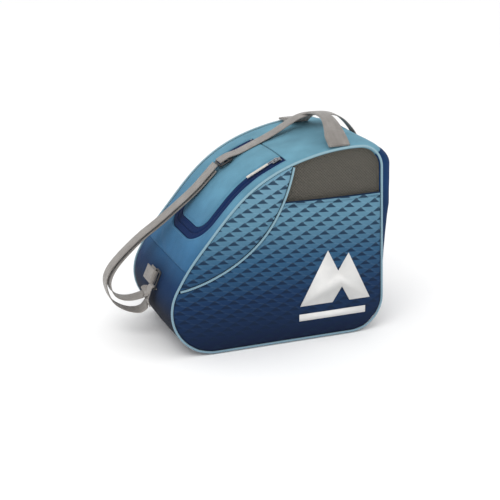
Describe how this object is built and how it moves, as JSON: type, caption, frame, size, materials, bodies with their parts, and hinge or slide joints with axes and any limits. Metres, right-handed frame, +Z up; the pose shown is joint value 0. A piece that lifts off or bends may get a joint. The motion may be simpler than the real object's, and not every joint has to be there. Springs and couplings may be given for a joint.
{
  "type": "boot bag",
  "caption": "Wedge-shaped fabric boot bag with a zipped flap on its slope, a mesh-backed slip pocket, a webbing grab handle and an adjustable shoulder strap.",
  "frame": {"origin": "centre of the bag's footprint at the surface it stands on, measured without the shoulder strap", "axes": "+X along the bag from the toe to the tall end, -Y towards the front pocket, +Z up"},
  "size_m": [0.4698, 0.2254, 0.3712],
  "materials": {
    "sky_fabric": "woven",
    "blue_fabric": "woven",
    "navy_fabric": "woven",
    "print_fabric": "printed woven",
    "piping": "smooth",
    "webbing": "ribbed",
    "mesh": "mesh",
    "binding": "woven",
    "lining": "woven",
    "zip_tape": "knit",
    "zip_coil": "satin",
    "zip_metal": "polished",
    "pull_grip": "satin",
    "emblem": "satin print",
    "black_plastic": "satin",
    "board": "matte"
  },
  "bodies": {
    "bag": {"toe_gusset": "blue_fabric", "bottom_panel": "navy_fabric", "end_gusset": "navy_fabric", "top_gusset": "sky_fabric", "back_panel": "print_fabric", "base_board": "board", "front_piping": "piping", "back_piping": "piping", "front_emblem": "emblem", "body_zip_tape": "zip_tape", "body_zip_coil": "zip_coil", "zip_stops": "zip_metal", "front_upper_panel": "print_fabric", "front_pocket_panel": "print_fabric", "pocket_binding": "binding", "pocket_mesh": "mesh", "front_wall": "lining", "pocket_piping": "piping", "handle_front_patch": "webbing", "handle_back_patch": "webbing", "strap_upper": "webbing", "strap_outer_ply": "webbing", "strap_inner_ply": "webbing", "toe_tab": "webbing"},
    "flap": {"flap": "sky_fabric", "flap_zip_tape": "zip_tape", "flap_zip_coil": "zip_coil"},
    "slider": {"zip_slider": "zip_metal"},
    "pull": {"zip_pull": "zip_metal", "zip_pull_grip": "pull_grip"},
    "handle": {"handle_webbing": "webbing"},
    "ring": {"strap_ring": "black_plastic"},
    "adjuster": {"adjuster": "black_plastic"}
  },
  "joints": [
    {"name": "flap_hinge", "type": "hinge", "parent": "bag", "child": "flap", "pos_m": [0.01304, 0, 0.31308], "axis": [0, 1, 0], "range_deg": [0, 100], "deforming": ["strap_upper", "strap_outer_ply", "strap_inner_ply"]},
    {"name": "zip_travel", "type": "slide", "parent": "flap", "child": "slider", "axis": [-0.8902, 0, -0.4556], "range_m": [0, 0.045]},
    {"name": "pull_hinge", "type": "hinge", "parent": "slider", "child": "pull", "pos_m": [0.00023, -0.07725, 0.31023], "axis": [0, 1, 0], "range_deg": [0, 90]},
    {"name": "handle_swing", "type": "hinge", "parent": "bag", "child": "handle", "pos_m": [0.10104, 0, 0.345], "axis": [0, 1, 0], "range_deg": [-20, 20]},
    {"name": "ring_hinge", "type": "hinge", "parent": "bag", "child": "ring", "pos_m": [-0.1929, -0.024, 0.11459], "axis": [-0.3974, 0, -0.9176], "range_deg": [0, 80]},
    {"name": "adjuster_slide", "type": "slide", "parent": "flap", "child": "adjuster", "axis": [-0.891, 0, -0.454], "range_m": [0, 0.015], "deforming": ["strap_upper", "strap_outer_ply", "strap_inner_ply"]}
  ]
}
